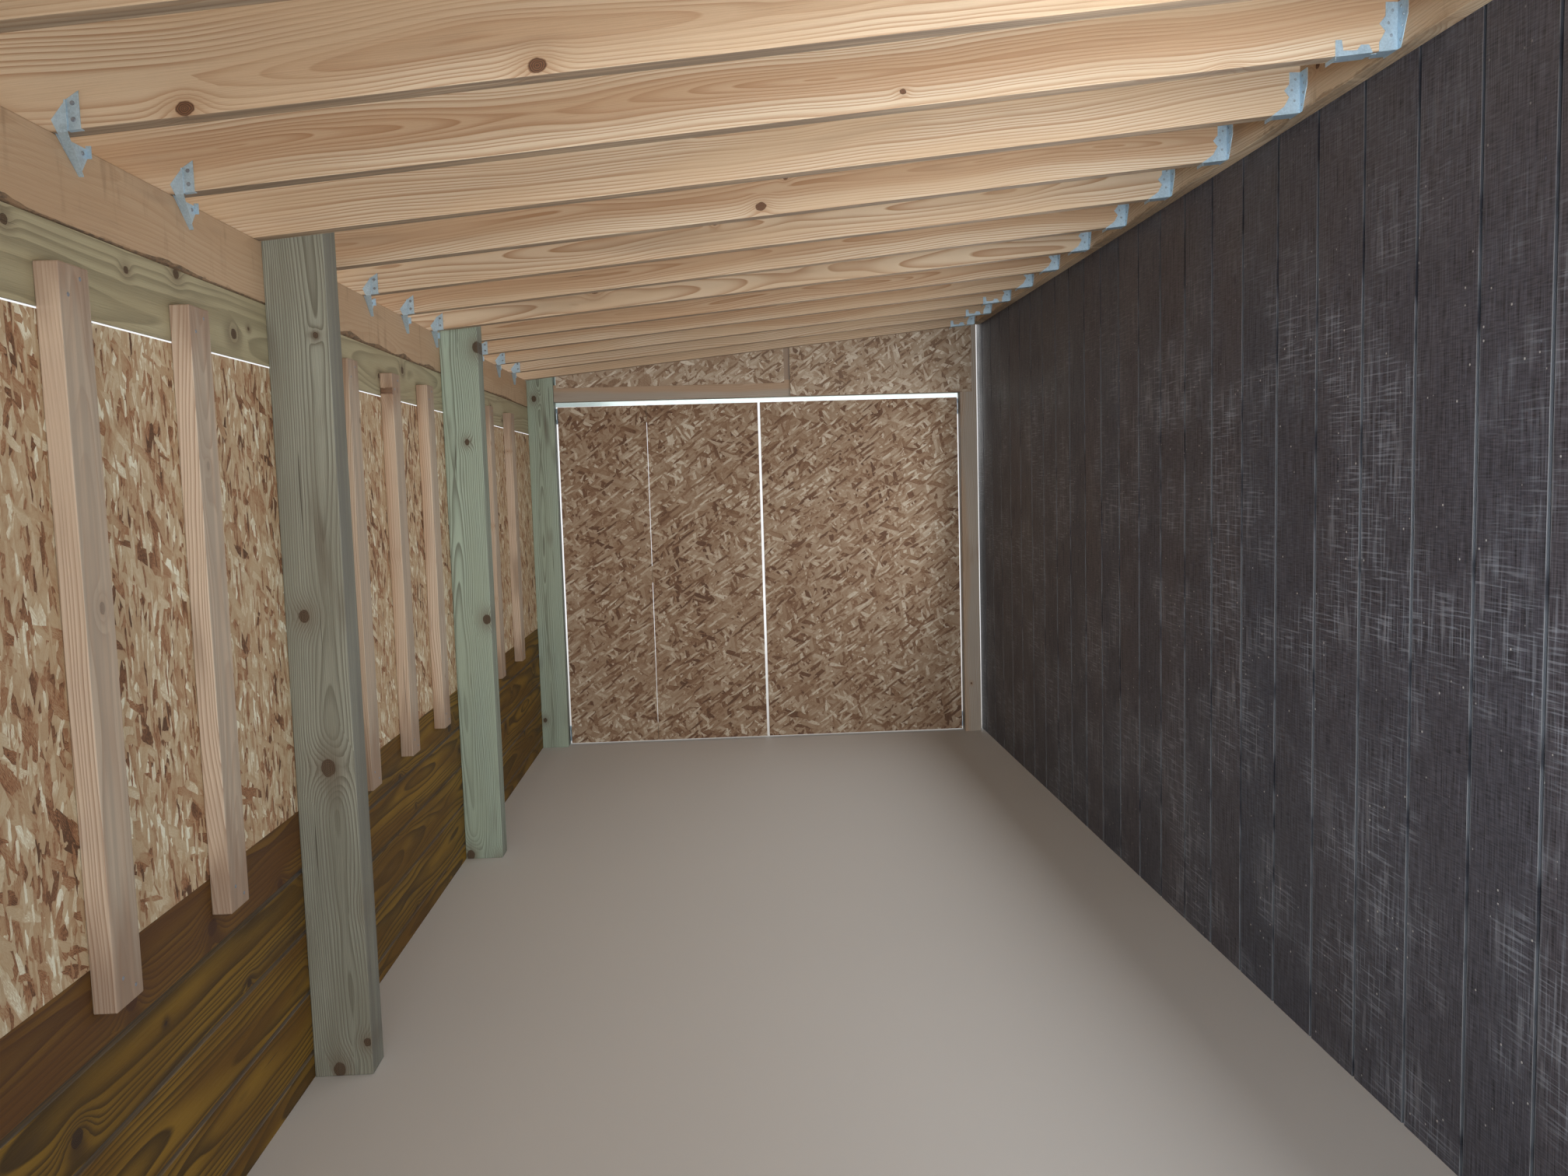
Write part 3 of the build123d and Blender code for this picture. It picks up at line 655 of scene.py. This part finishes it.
# The sheets are strand board: flakes of wood pressed flat in layers. On the left wall they
# lie mostly upright, and in the gable, the doors, the roof deck and the party wall's lining
# every way. The left wall's are nailed from outside, along the posts and the studs.
def strand_board(name, axes, layers, seed, look):
    """Flakes in layers, the first all over and each later one in a share of its cells. axes
    are the sheet's two ways along its face, and its thickness. A layer is the turn of its
    flakes in degrees, their length and width, and that share."""
    material, start = fresh_material(name)
    across, up, through = (pick(start, axis) for axis in axes)
    fray = noise(start, vector(start, across + seed, up), 45.0, 2.0, 0.6, flat=True) - 0.5
    fray_two = noise(start, vector(start, across, up + seed), 30.0, 2.0, 0.6, flat=True) - 0.5
    tone = None
    for layer, (turn, long, wide, share) in enumerate(layers):
        cosine, sine = math.cos(math.radians(turn)), math.sin(math.radians(turn))
        u = (across * cosine + up * sine + fray * 0.007 + seed * 3.1 + layer * 17.3) / long
        v = (up * cosine - across * sine + fray_two * 0.005 + seed * 1.7 + layer * 11.9) / wide
        flat = vector(start, u, v)
        cells = {"voronoi_dimensions": "2D", "distance": "CHEBYCHEV"}
        flake = start.node("ShaderNodeTexVoronoi", cells, {"Vector": flat, "Scale": 1.0})
        luck = start.node("ShaderNodeSeparateColor", {}, {"Color": flake.out("Color")})
        # each flake is painted darker towards its edges, a painted shadow along them
        rim_shade_factor = step(flake, 0.62, 0.38)
        strands = noise(start, vector(start, u * 3.0, v * 7.0), 2.6, 1.0, 0.6, flat=True) - 0.5
        here = luck * 0.94 + 0.03 + strands * look["strand_contrast"]
        here = here * (rim_shade_factor * 0.30 + 0.70)
        if tone is None:
            tone = here
        else:
            shown = luck.out(1) < share
            tone = tone + (here - tone) * shown

    # pale and dark patches, and the sheet's edges, where the layers show as lines
    slow = noise(start, vector(start, across, up + seed), 2.2, 1.0, flat=True) - 0.5
    patch = noise(start, vector(start, across + seed, up * 0.7), 14.0, 1.0, flat=True) - 0.5
    tone = tone + slow * 0.22 + patch * look["clump"]
    shade = start.node("ShaderNodeValToRGB", {"stops": look["flakes"]}, {"Fac": tone})
    edge_lines = noise(start, vector(start, across * 30.0, up * 30.0, through * 900.0), 1.0, 2.0)
    edge_shade = blend(edge_lines, look["edge_dark"], look["edge_pale"])
    facing = start.node("ShaderNodeTexCoord", {}, {}, "Normal")
    facing = start.node("ShaderNodeSeparateXYZ", {}, {"Vector": facing}, axes[2])
    face = step(facing.maths("ABSOLUTE", facing), 0.4, 0.6)
    shade = blend(face, edge_shade, shade)
    rough = tone * -0.2 + 0.72
    shader = {"Base Color": shade, "Roughness": rough, "Specular IOR Level": 0.3}
    return surface(start, material, shader, here, look["bump"])


flake_look = {
    "flakes": (
        (0.0, (0.110, 0.056, 0.030)), (0.12, (0.325, 0.151, 0.074)), (0.28, (0.448, 0.304, 0.177)),
        (0.62, (0.526, 0.409, 0.262)), (0.84, (0.627, 0.533, 0.371)), (1.0, (0.851, 0.843, 0.691)),
    ),
    "strand_contrast": 0.50, "clump": 0.40, "bump": 0.0009,
    "edge_dark": (0.120, 0.065, 0.035), "edge_pale": (0.420, 0.300, 0.180),
}
upright = (
    (82.0, 0.060, 0.0200, 1.0), (104.0, 0.048, 0.0140, 0.45), (66.0, 0.040, 0.0120, 0.40),
    (122.0, 0.075, 0.0240, 0.26), (-28.0, 0.056, 0.0160, 0.24), (92.0, 0.034, 0.0070, 0.30),
)
for bay in range(1, 4):
    board = strand_board(f"wall_sheet_{bay}_board", "YZX", upright, 1.3 * bay, flake_look)
    dress(board, f"wall_sheet_{bay}")
every_way = (
    (12.0, 0.060, 0.0150, 1.0), (68.0, 0.066, 0.0140, 0.5), (-48.0, 0.058, 0.0140, 0.45),
    (101.0, 0.075, 0.0180, 0.35), (-20.0, 0.085, 0.0200, 0.25), (35.0, 0.060, 0.0110, 0.40),
)

# nails from outside, two from each board into each post, and rows that hold the sheets
outer_nails = []
outward = (-1.0, 0.0, 0.0)
post_middles = tuple(post_places.values())
board_middles = [beam_middle, girt_middle] + [top_skirt - skirt_pitch * row for row in range(4)]
for middle in post_middles:
    for board_middle in board_middles:
        for aside, rise in ((-0.018, 0.036), (0.020, -0.034)):
            outer_nails.append(((beam_outer, middle + aside, board_middle + rise), outward))
sheet_outer, lowest_nail, nail_pitch, nail_rows = -1.1095, 0.705, 0.155, 7
open_edge = -3.02
sheet_rows = [(middle, 0.014) for middle in post_middles]
for bay, (place, pitch_along) in stud_starts.items():
    sheet_rows += [(place + index * pitch_along, 0.010) for index in range(stud_counts[bay])]
for middle, aside in sheet_rows:
    for row in range(nail_rows):
        height = lowest_nail + nail_pitch * row
        for side in (-aside, aside):
            outer_nails.append(((sheet_outer, middle + side, height), outward))
outer_nails = [nail for nail in outer_nails if nail[0][1] > open_edge]
nailed("outer_wall_nails", "building", outer_nails, dark_steel, 0.0080, 0.0010)
door_look = {
    **flake_look, "strand_contrast": 0.60, "clump": 0.15,
    "flakes": (
        (0.0, (0.117, 0.060, 0.036)), (0.16, (0.221, 0.120, 0.067)), (0.34, (0.317, 0.209, 0.130)),
        (0.62, (0.374, 0.267, 0.178)), (0.84, (0.480, 0.377, 0.270)), (1.0, (0.653, 0.581, 0.464)),
    ),
}
gable_look = {
    **flake_look, "strand_contrast": 0.60, "clump": 0.15,
    "flakes": (
        (0.0, (0.186, 0.116, 0.077)), (0.16, (0.300, 0.190, 0.118)), (0.34, (0.410, 0.300, 0.205)),
        (0.62, (0.470, 0.370, 0.270)), (0.84, (0.580, 0.490, 0.380)), (1.0, (0.740, 0.670, 0.560)),
    ),
}
finishes = {"gable_sheet_left": gable_look, "gable_sheet_right": gable_look,
            "left_door_sheet": door_look, "right_door_sheet": door_look}
for seed, (name, finish) in enumerate(finishes.items()):
    board = strand_board(f"{name}_board", "XZY", every_way, 7.7 + 1.9 * seed, finish)
    dress(board, name)
board = strand_board("deck_board", "XYZ", every_way, 21.1, flake_look)
dress(board, "roof_deck")
board = strand_board("lining_board", "YZX", every_way, 25.1, flake_look)
dress(board, "party_wall_lining")

# The party wall's siding is grooved panel painted a very dark brown, nailed to the studs
# behind it. Its grooves are 8 inches apart, with pale lines painted along their edges: partly
# paint wear, and partly a painted highlight where light catches each groove's far edge. The
# grooves' insides are painted near black, a painted shade. The paint is dusty, streaked and
# scuffed lower down.
groove_spacing = 0.2032
first_groove = 0.1881
material, start = fresh_material("siding_paint")
y, z, x = pick(start, "Y"), pick(start, "Z"), pick(start, "X")
from_groove = y - near_end - first_groove
spaces = from_groove / groove_spacing
number = (spaces + 0.5).maths("FLOOR", spaces + 0.5)
beside = from_groove - number * groove_spacing
plank = start.node("ShaderNodeTexWhiteNoise", {"noise_dimensions": "1D"},
                   {"W": spaces.maths("FLOOR", spaces)})
broad = noise(start, vector(start, y * 3.0, z * 0.8), 1.5, 1.0, flat=True)
combed = noise(start, vector(start, y * 330.0, z * 11.0), 1.0, 1.0, 0.6, flat=True)
sawn = noise(start, vector(start, y * 30.0, z * 330.0), 1.0, 1.0, 0.6, flat=True)
shade = blend(broad, (0.048, 0.050, 0.065), (0.066, 0.069, 0.088))
shade = blend(plank * 0.50, shade, (0.080, 0.064, 0.068))
texture = combed * 1.9 + sawn * 1.3 - 0.6
shade = shade.node("ShaderNodeHueSaturation", {}, {"Value": texture, "Color": shade})

# dust, streaks, scrapes, smears and flecks, more of them lower down
lower = step(z, 2.15, 1.55, 0.25, 1.0)
patchy = noise(start, vector(start, y * 1.9, z * 2.2 + 4.0), 1.5, 2.0, flat=True)
dusty = step(patchy, 0.40, 0.62) * lower
streak = step(noise(start, vector(start, y * 130.0, z * 6.0), 1.0, 1.0, 0.6, flat=True), 0.54, 0.72)
scrape = step(noise(start, vector(start, y * 9.0, z * 190.0), 1.0, 1.0, 0.6, flat=True), 0.55, 0.72)
shade = blend(dusty * (streak * 0.34 + scrape * 0.36), shade, (0.330, 0.350, 0.390))
smear = step(noise(start, vector(start, y * 34.0, z * 4.5 + 9.0), 1.0, 2.0, 0.7, flat=True), 0.56, 0.70)
shade = blend(smear * dusty * 0.36, shade, (0.270, 0.270, 0.290))
fleck = start.node("ShaderNodeTexVoronoi", {}, {"Vector": vector(start, y, z, x), "Scale": 52.0})
fleck_luck = start.node("ShaderNodeSeparateColor", {}, {"Color": fleck.out("Color")})
shade = blend(step(fleck, 0.16, 0.08) * (fleck_luck < 0.13) * lower, shade, (0.50, 0.48, 0.45))

# pale edges of the grooves, partly paint wear and partly painted highlight, and the grooves'
# insides painted near black as painted shade
edge_breakup = noise(start, vector(start, y * 5.0, z * 2.6 + 7.0), 2.0, 2.0, 0.65, flat=True)
edge = step(beside, 0.0068, 0.0058) * step(beside, 0.0038, 0.0048)
other_edge = step(beside, -0.0066, -0.0058) * step(beside, -0.0040, -0.0046) * 0.5
wear_and_highlight_edge = (edge + other_edge) * step(edge_breakup, 0.32, 0.52)
shade = blend(wear_and_highlight_edge * step(z, 2.25, 1.35, 0.35, 1.0), shade, (0.44, 0.46, 0.49))
# the grooves' insides, painted near black: a painted shade in the recess
side_of_groove = beside.maths("ABSOLUTE", beside)
shade = blend(step(side_of_groove, 0.0054, 0.0046) * 0.85, shade, (0.014, 0.014, 0.018))
rough = broad * 0.18 + 0.38 + streak * 0.16
height = combed * 0.7 + sawn * 0.4
shader = {"Base Color": shade, "Roughness": rough, "Specular IOR Level": 0.35}
siding = surface(start, material, shader, height, 0.0004)
dress(siding, "siding")
siding_face = 1.3395
lowest_siding_nail, siding_nail_pitch, siding_nail_rows = 0.08, 0.305, 9
siding_nails = []
for index in range(rafter_count):
    for row in range(siding_nail_rows):
        across = first_rafter_middle + rafter_spacing * index
        height = lowest_siding_nail + siding_nail_pitch * row
        if height < seat_height - 0.02 and across < 3.1:
            siding_nails.append(((siding_face, across, height), (-1.0, 0.0, 0.0)))
nailed("siding_nails", "building", siding_nails, siding, 0.0080, 0.0008)

# Behind the siding, the party wall has pine studs in line with the rafters, nailed between
# plates. The plates lie flat, and the wood is duller than in the store.
inside_look = {**pine_look, "pale": (0.480, 0.385, 0.275), "warm": (0.430, 0.325, 0.220)}
party_middle_x, low_plate_height = 1.4, 0.019
wood = timber("party_stud_timber", "ZXY", (party_middle_x, first_rafter_middle), inside_look,
              201.0, rows=("thick", rafter_spacing))
dress(wood, "party_wall_studs", arris=0.002)
wood = timber("party_plate_timber", "YXZ", (party_middle_x, low_plate_height), inside_look, 211.0)
dress(wood, "party_wall_plates", arris=0.002)

# The roof covering is mineral felt in strips along the roof, lapped downhill over the deck
# and held by rows of zinc-coated clouts. It is dark grey with coarse grit, and its lower
# edges wander and lift a little.
material, start = fresh_material("mineral_felt")
x, y, z = (pick(start, axis) for axis in "XYZ")
place = vector(start, x, y, z)
grit = start.node("ShaderNodeTexVoronoi", {}, {"Vector": place, "Scale": 700.0}, "Color")
grit = start.node("ShaderNodeSeparateColor", {}, {"Color": grit})
cloud = noise(start, place, 2.5, 4.0, 0.6)
shade = blend(grit, (0.060, 0.064, 0.066), (0.200, 0.205, 0.205))
shade = blend(step(cloud, 0.4, 0.7) * 0.4, shade, (0.125, 0.13, 0.12))
felt = surface(start, material, {"Base Color": shade, "Roughness": grit * 0.1 + 0.85}, grit, 0.0008)
dress(felt, "roof_covering")
roof_top = 2.4288
lap_starts = (-0.53, 0.40)
strip_width, strip_half_length = 0.93, 3.217
corners, faces = [], []
wobble = random.Random(77)
lap_sections = 90
lap_sides = 5
for start_x in lap_starts:
    end_x = min(start_x + strip_width, siding_face)
    first = len(corners)
    for index in range(lap_sections + 1):
        y = -strip_half_length + 2 * strip_half_length * index / lap_sections
        low_x = start_x + wobble.uniform(-0.0022, 0.0022)
        lift = 0.0032 + wobble.uniform(0.0, 0.0010)
        section = ((low_x, -0.0005), (low_x, lift), (low_x + 0.06, 0.0026),
                   (end_x, 0.0012), (end_x, -0.0005))
        for x, rise in section:
            corners.append((x, y, roof_top - roof_slope * (siding_face - x) + rise))
    for index in range(lap_sections):
        here, there = first + index * lap_sides, first + (index + 1) * lap_sides
        for side in range(lap_sides):
            after = (side + 1) % lap_sides
            faces.append((here + side, here + after, there + after, there + side))
    faces.append(tuple(range(first, first + lap_sides)))
    last = first + lap_sections * lap_sides
    faces.append(tuple(reversed(range(last, last + lap_sides))))
mesh = outward_mesh("felt_strips", corners, faces)
mesh.materials.append(felt)
strips = bpy.data.objects.new("felt_strips", mesh)
scene.collection.objects.link(strips)
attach(strips, "building")
clouts = []
tilt = math.sqrt(1.0 + roof_slope * roof_slope)
up_roof = (-roof_slope / tilt, 0.0, 1.0 / tilt)
eave_clouts = -1.4365
clout_rows = [(eave_clouts, 0.0)] + [(start_x + 0.025, 0.0030) for start_x in lap_starts]
clout_count, first_clout, clout_pitch = 64, -3.18, 0.101
for row_x, rise in clout_rows:
    height = roof_top - roof_slope * (siding_face - row_x) + rise
    for index in range(clout_count):
        clouts.append(((row_x, first_clout + clout_pitch * index, height), up_roof))
nailed("roof_clouts", "building", clouts, zinc, 0.0110, 0.0012, crown=0.85)

# The building wrap on the outside of the gable is thin pale woven sheet, a little creased,
# which lets light through. It shows in the gap over the doors.
material, start = fresh_material("pale_wrap")
x, y, z = (pick(start, axis) for axis in "XYZ")
threads_x, threads_z = x * 1900.0, z * 1900.0
weave = threads_x.maths("SINE", threads_x) * threads_z.maths("SINE", threads_z) * 0.5 + 0.5
crease = noise(start, vector(start, x, z, y), 9.0, 4.0, 0.6)
shade = blend(crease, (0.70, 0.84, 0.82), (0.86, 0.93, 0.92))
shader = {"Base Color": shade, "Roughness": weave * 0.1 + 0.4, "Transmission Weight": 0.55,
          "IOR": 1.05}
wrap = surface(start, material, shader, weave * 0.2 + crease, 0.002)
dress(wrap, "gable_wrap")

# The doors' stiles and rails are pine boards, laid flat on the outside of the leaves'
# sheets. They are a duller pine, with small dark knots.
leaf_look = {
    **pine_look, "pale": (0.570, 0.465, 0.350), "warm": (0.500, 0.388, 0.280), "knots": 0.40,
}
leaf_board_y = 3.137
for side in ("left", "right"):
    wood = timber(f"{side}_stile_timber", "ZXY", (0.0, leaf_board_y), leaf_look, 221.0)
    dress(wood, f"{side}_door_stiles", arris=0.002)
    wood = timber(f"{side}_rail_timber", "XZY", (1.0, leaf_board_y), leaf_look, 231.0)
    dress(wood, f"{side}_door_rails", arris=0.002)

# The doors' boards are screwed to their sheets. Each leaf hangs on two zinc-coated strap
# hinges, bolted along its top and bottom rails, and their plates are bolted beside the
# doorway with smaller bolts.
dress(zinc, "left_door_straps", "right_door_straps", "left_hinge_plates", "right_hinge_plates")
strap_face = far_end + 0.003
rail_heights = (0.0565, 0.9265, 1.7965)
hinge_heights = (rail_heights[0], rail_heights[2])
outdoors = (0.0, 1.0, 0.0)
# for each leaf: its pin, which way it runs from there, and its hung and its free stile
doors = {
    "left_door": (-0.9515, 1.0, -0.9000, 0.0845),
    "right_door": (1.2235, -1.0, 1.1720, 0.1875),
}
plate_bolts = []
for body, (pin, way, hung_stile, free_stile) in doors.items():
    bolts = [((pin + way * out, strap_face, height), outdoors)
             for height in hinge_heights for out in (0.075, 0.160, 0.250)]
    nailed(f"{body}_bolts", body, bolts, zinc, 0.0130, 0.0045, sides=6, crown=0.94)
    screws = []
    for height in rail_heights:
        for aside, rise in ((-0.022, 0.020), (0.022, -0.020)):
            screws.append(((free_stile + aside, far_end, height + rise), outdoors))
            if height not in hinge_heights:
                screws.append(((hung_stile + aside, far_end, height + rise), outdoors))
        for out in (0.40, 0.62, 0.84):
            screws.append(((pin + way * out, far_end, height + 0.016), outdoors))
    for height in (0.35, 0.62, 1.23, 1.50):
        for stile in (hung_stile, free_stile):
            screws.append(((stile, far_end, height), outdoors))
    nailed(f"{body}_screws", body, screws, dark_steel, 0.0078, 0.0010)
    plate_bolts += [((pin - way * 0.030, strap_face, height + rise), outdoors)
                    for height in hinge_heights for rise in (-0.027, 0.027)]
nailed("hinge_plate_bolts", "building", plate_bolts, zinc, 0.0110, 0.0035, sides=6, crown=0.94)

# The store stands on a plain pale floor, which turns to the background's white some metres
# out where the camera sees it. The background lights the store at about half its strength.
floor_mesh = bpy.data.meshes.new("floor")
half_floor = 60.0
floor_corners = [(x * half_floor, y * half_floor, 0) for x, y in ((-1, -1), (1, -1), (1, 1), (-1, 1))]
floor_mesh.from_pydata(floor_corners, [], [(0, 1, 2, 3)])
floor = bpy.data.objects.new("floor", floor_mesh)
scene.collection.objects.link(floor)
material, start = fresh_material("floor")
cloud = noise(start, start.node("ShaderNodeTexCoord", {}, {}, "Object"), 0.7, 2.0)
shade = blend(cloud, (0.70, 0.69, 0.67), (0.74, 0.73, 0.71))
floor_mesh.materials.append(surface(start, material, {"Base Color": shade, "Roughness": 0.8}))
far_x, far_y = pick(start, "X"), pick(start, "Y")
squared = far_x * far_x + far_y * far_y
far = step(squared.maths("SQRT", squared), 4.6, 9.5)
path = start.node("ShaderNodeLightPath", {}, {}, "Is Camera Ray")
far = far * path.maths("MAXIMUM", path, path.out("Is Transmission Ray"))
white = start.node("ShaderNodeEmission", {}, {"Color": (1.0, 1.0, 1.0), "Strength": 1.0})
output = material.node_tree.nodes["Material Output"]
lit = Wire(material.node_tree, output.inputs["Surface"].links[0].from_socket)
mixed = start.node("ShaderNodeMixShader", {}, {0: far, 1: lit, 2: white})
material.node_tree.links.new(mixed.socket, output.inputs["Surface"])

world = bpy.data.worlds.new("studio")
scene.world = world
world.use_nodes = True
world.node_tree.nodes.clear()
sky = Wire(world.node_tree, None)
path = sky.node("ShaderNodeLightPath", {}, {}, "Is Camera Ray")
seen = path.maths("MAXIMUM", path, path.out("Is Glossy Ray"))
seen = seen.maths("MAXIMUM", seen, path.out("Is Transmission Ray"))
strength = seen * 0.44 + 0.56
back = sky.node("ShaderNodeBackground", {}, {"Color": (1.0, 1.0, 1.0), "Strength": strength})
output = world.node_tree.nodes.new("ShaderNodeOutputWorld")
world.node_tree.links.new(back.socket, output.inputs["Surface"])


# Soft lamps light the store: a large one far out before the open end, small low ones that
# pick out the rafters, the ledger and the siding, a long one under the eave, and one above,
# at each side and beyond the doors. The last is inside and lights the left wall.
def lamp(name, place, target, size, power, tint=(1.0, 1.0, 1.0), spread=180.0):
    """A lamp that the camera doesn't see, its size in metres and its spread in degrees."""
    light = bpy.data.lights.new(name, "AREA")
    light.color = tint
    light.spread = math.radians(spread)
    light.shape = "RECTANGLE"
    light.size, light.size_y = size
    light.energy = power
    holder = bpy.data.objects.new(name, light)
    holder.location = place
    holder.visible_camera = False
    holder.rotation_euler = (Vector(target) - Vector(place)).to_track_quat("-Z", "Y").to_euler()
    scene.collection.objects.link(holder)


lamp("open_end_lamp", (1.4, -16.0, 2.1), (0.0, 0.0, 1.3), (10.0, 4.0), 980.0)
lamp("low_front_lamp", (1.9, -5.2, 0.3), (0.9, -0.5, 2.3), (1.6, 0.7), 11.0, spread=70.0)
lamp("ledger_lamp", (1.0, -4.3, 0.9), (1.0, -1.2, 2.35), (0.6, 0.6), 12.0, spread=80.0)
lamp("siding_lamp", (-0.9, -5.2, 1.15), (1.34, -1.5, 1.15), (0.8, 0.8), 13.0, (0.80, 0.90, 1.0), 50.0)
lamp("eave_lamp", (-2.35, -0.3, 1.72), (-0.6, -0.3, 2.12), (6.6, 0.12), 16.0, spread=60.0)
lamp("overhead_lamp", (0.0, 0.0, 8.0), (0.0, 0.0, 0.0), (8.0, 8.0), 180.0)
lamp("left_lamp", (-8.0, 1.0, 3.5), (0.0, 0.0, 1.0), (5.0, 4.0), 110.0)
lamp("door_end_lamp", (1.0, 10.0, 3.5), (0.0, 3.0, 1.0), (5.0, 4.0), 150.0)
lamp("right_lamp", (8.0, 1.0, 3.5), (0.0, 0.0, 1.0), (5.0, 4.0), 110.0)
lamp("inner_lamp", (1.18, 0.1, 1.25), (-1.0, 0.1, 1.4), (5.6, 1.2), 30.0)
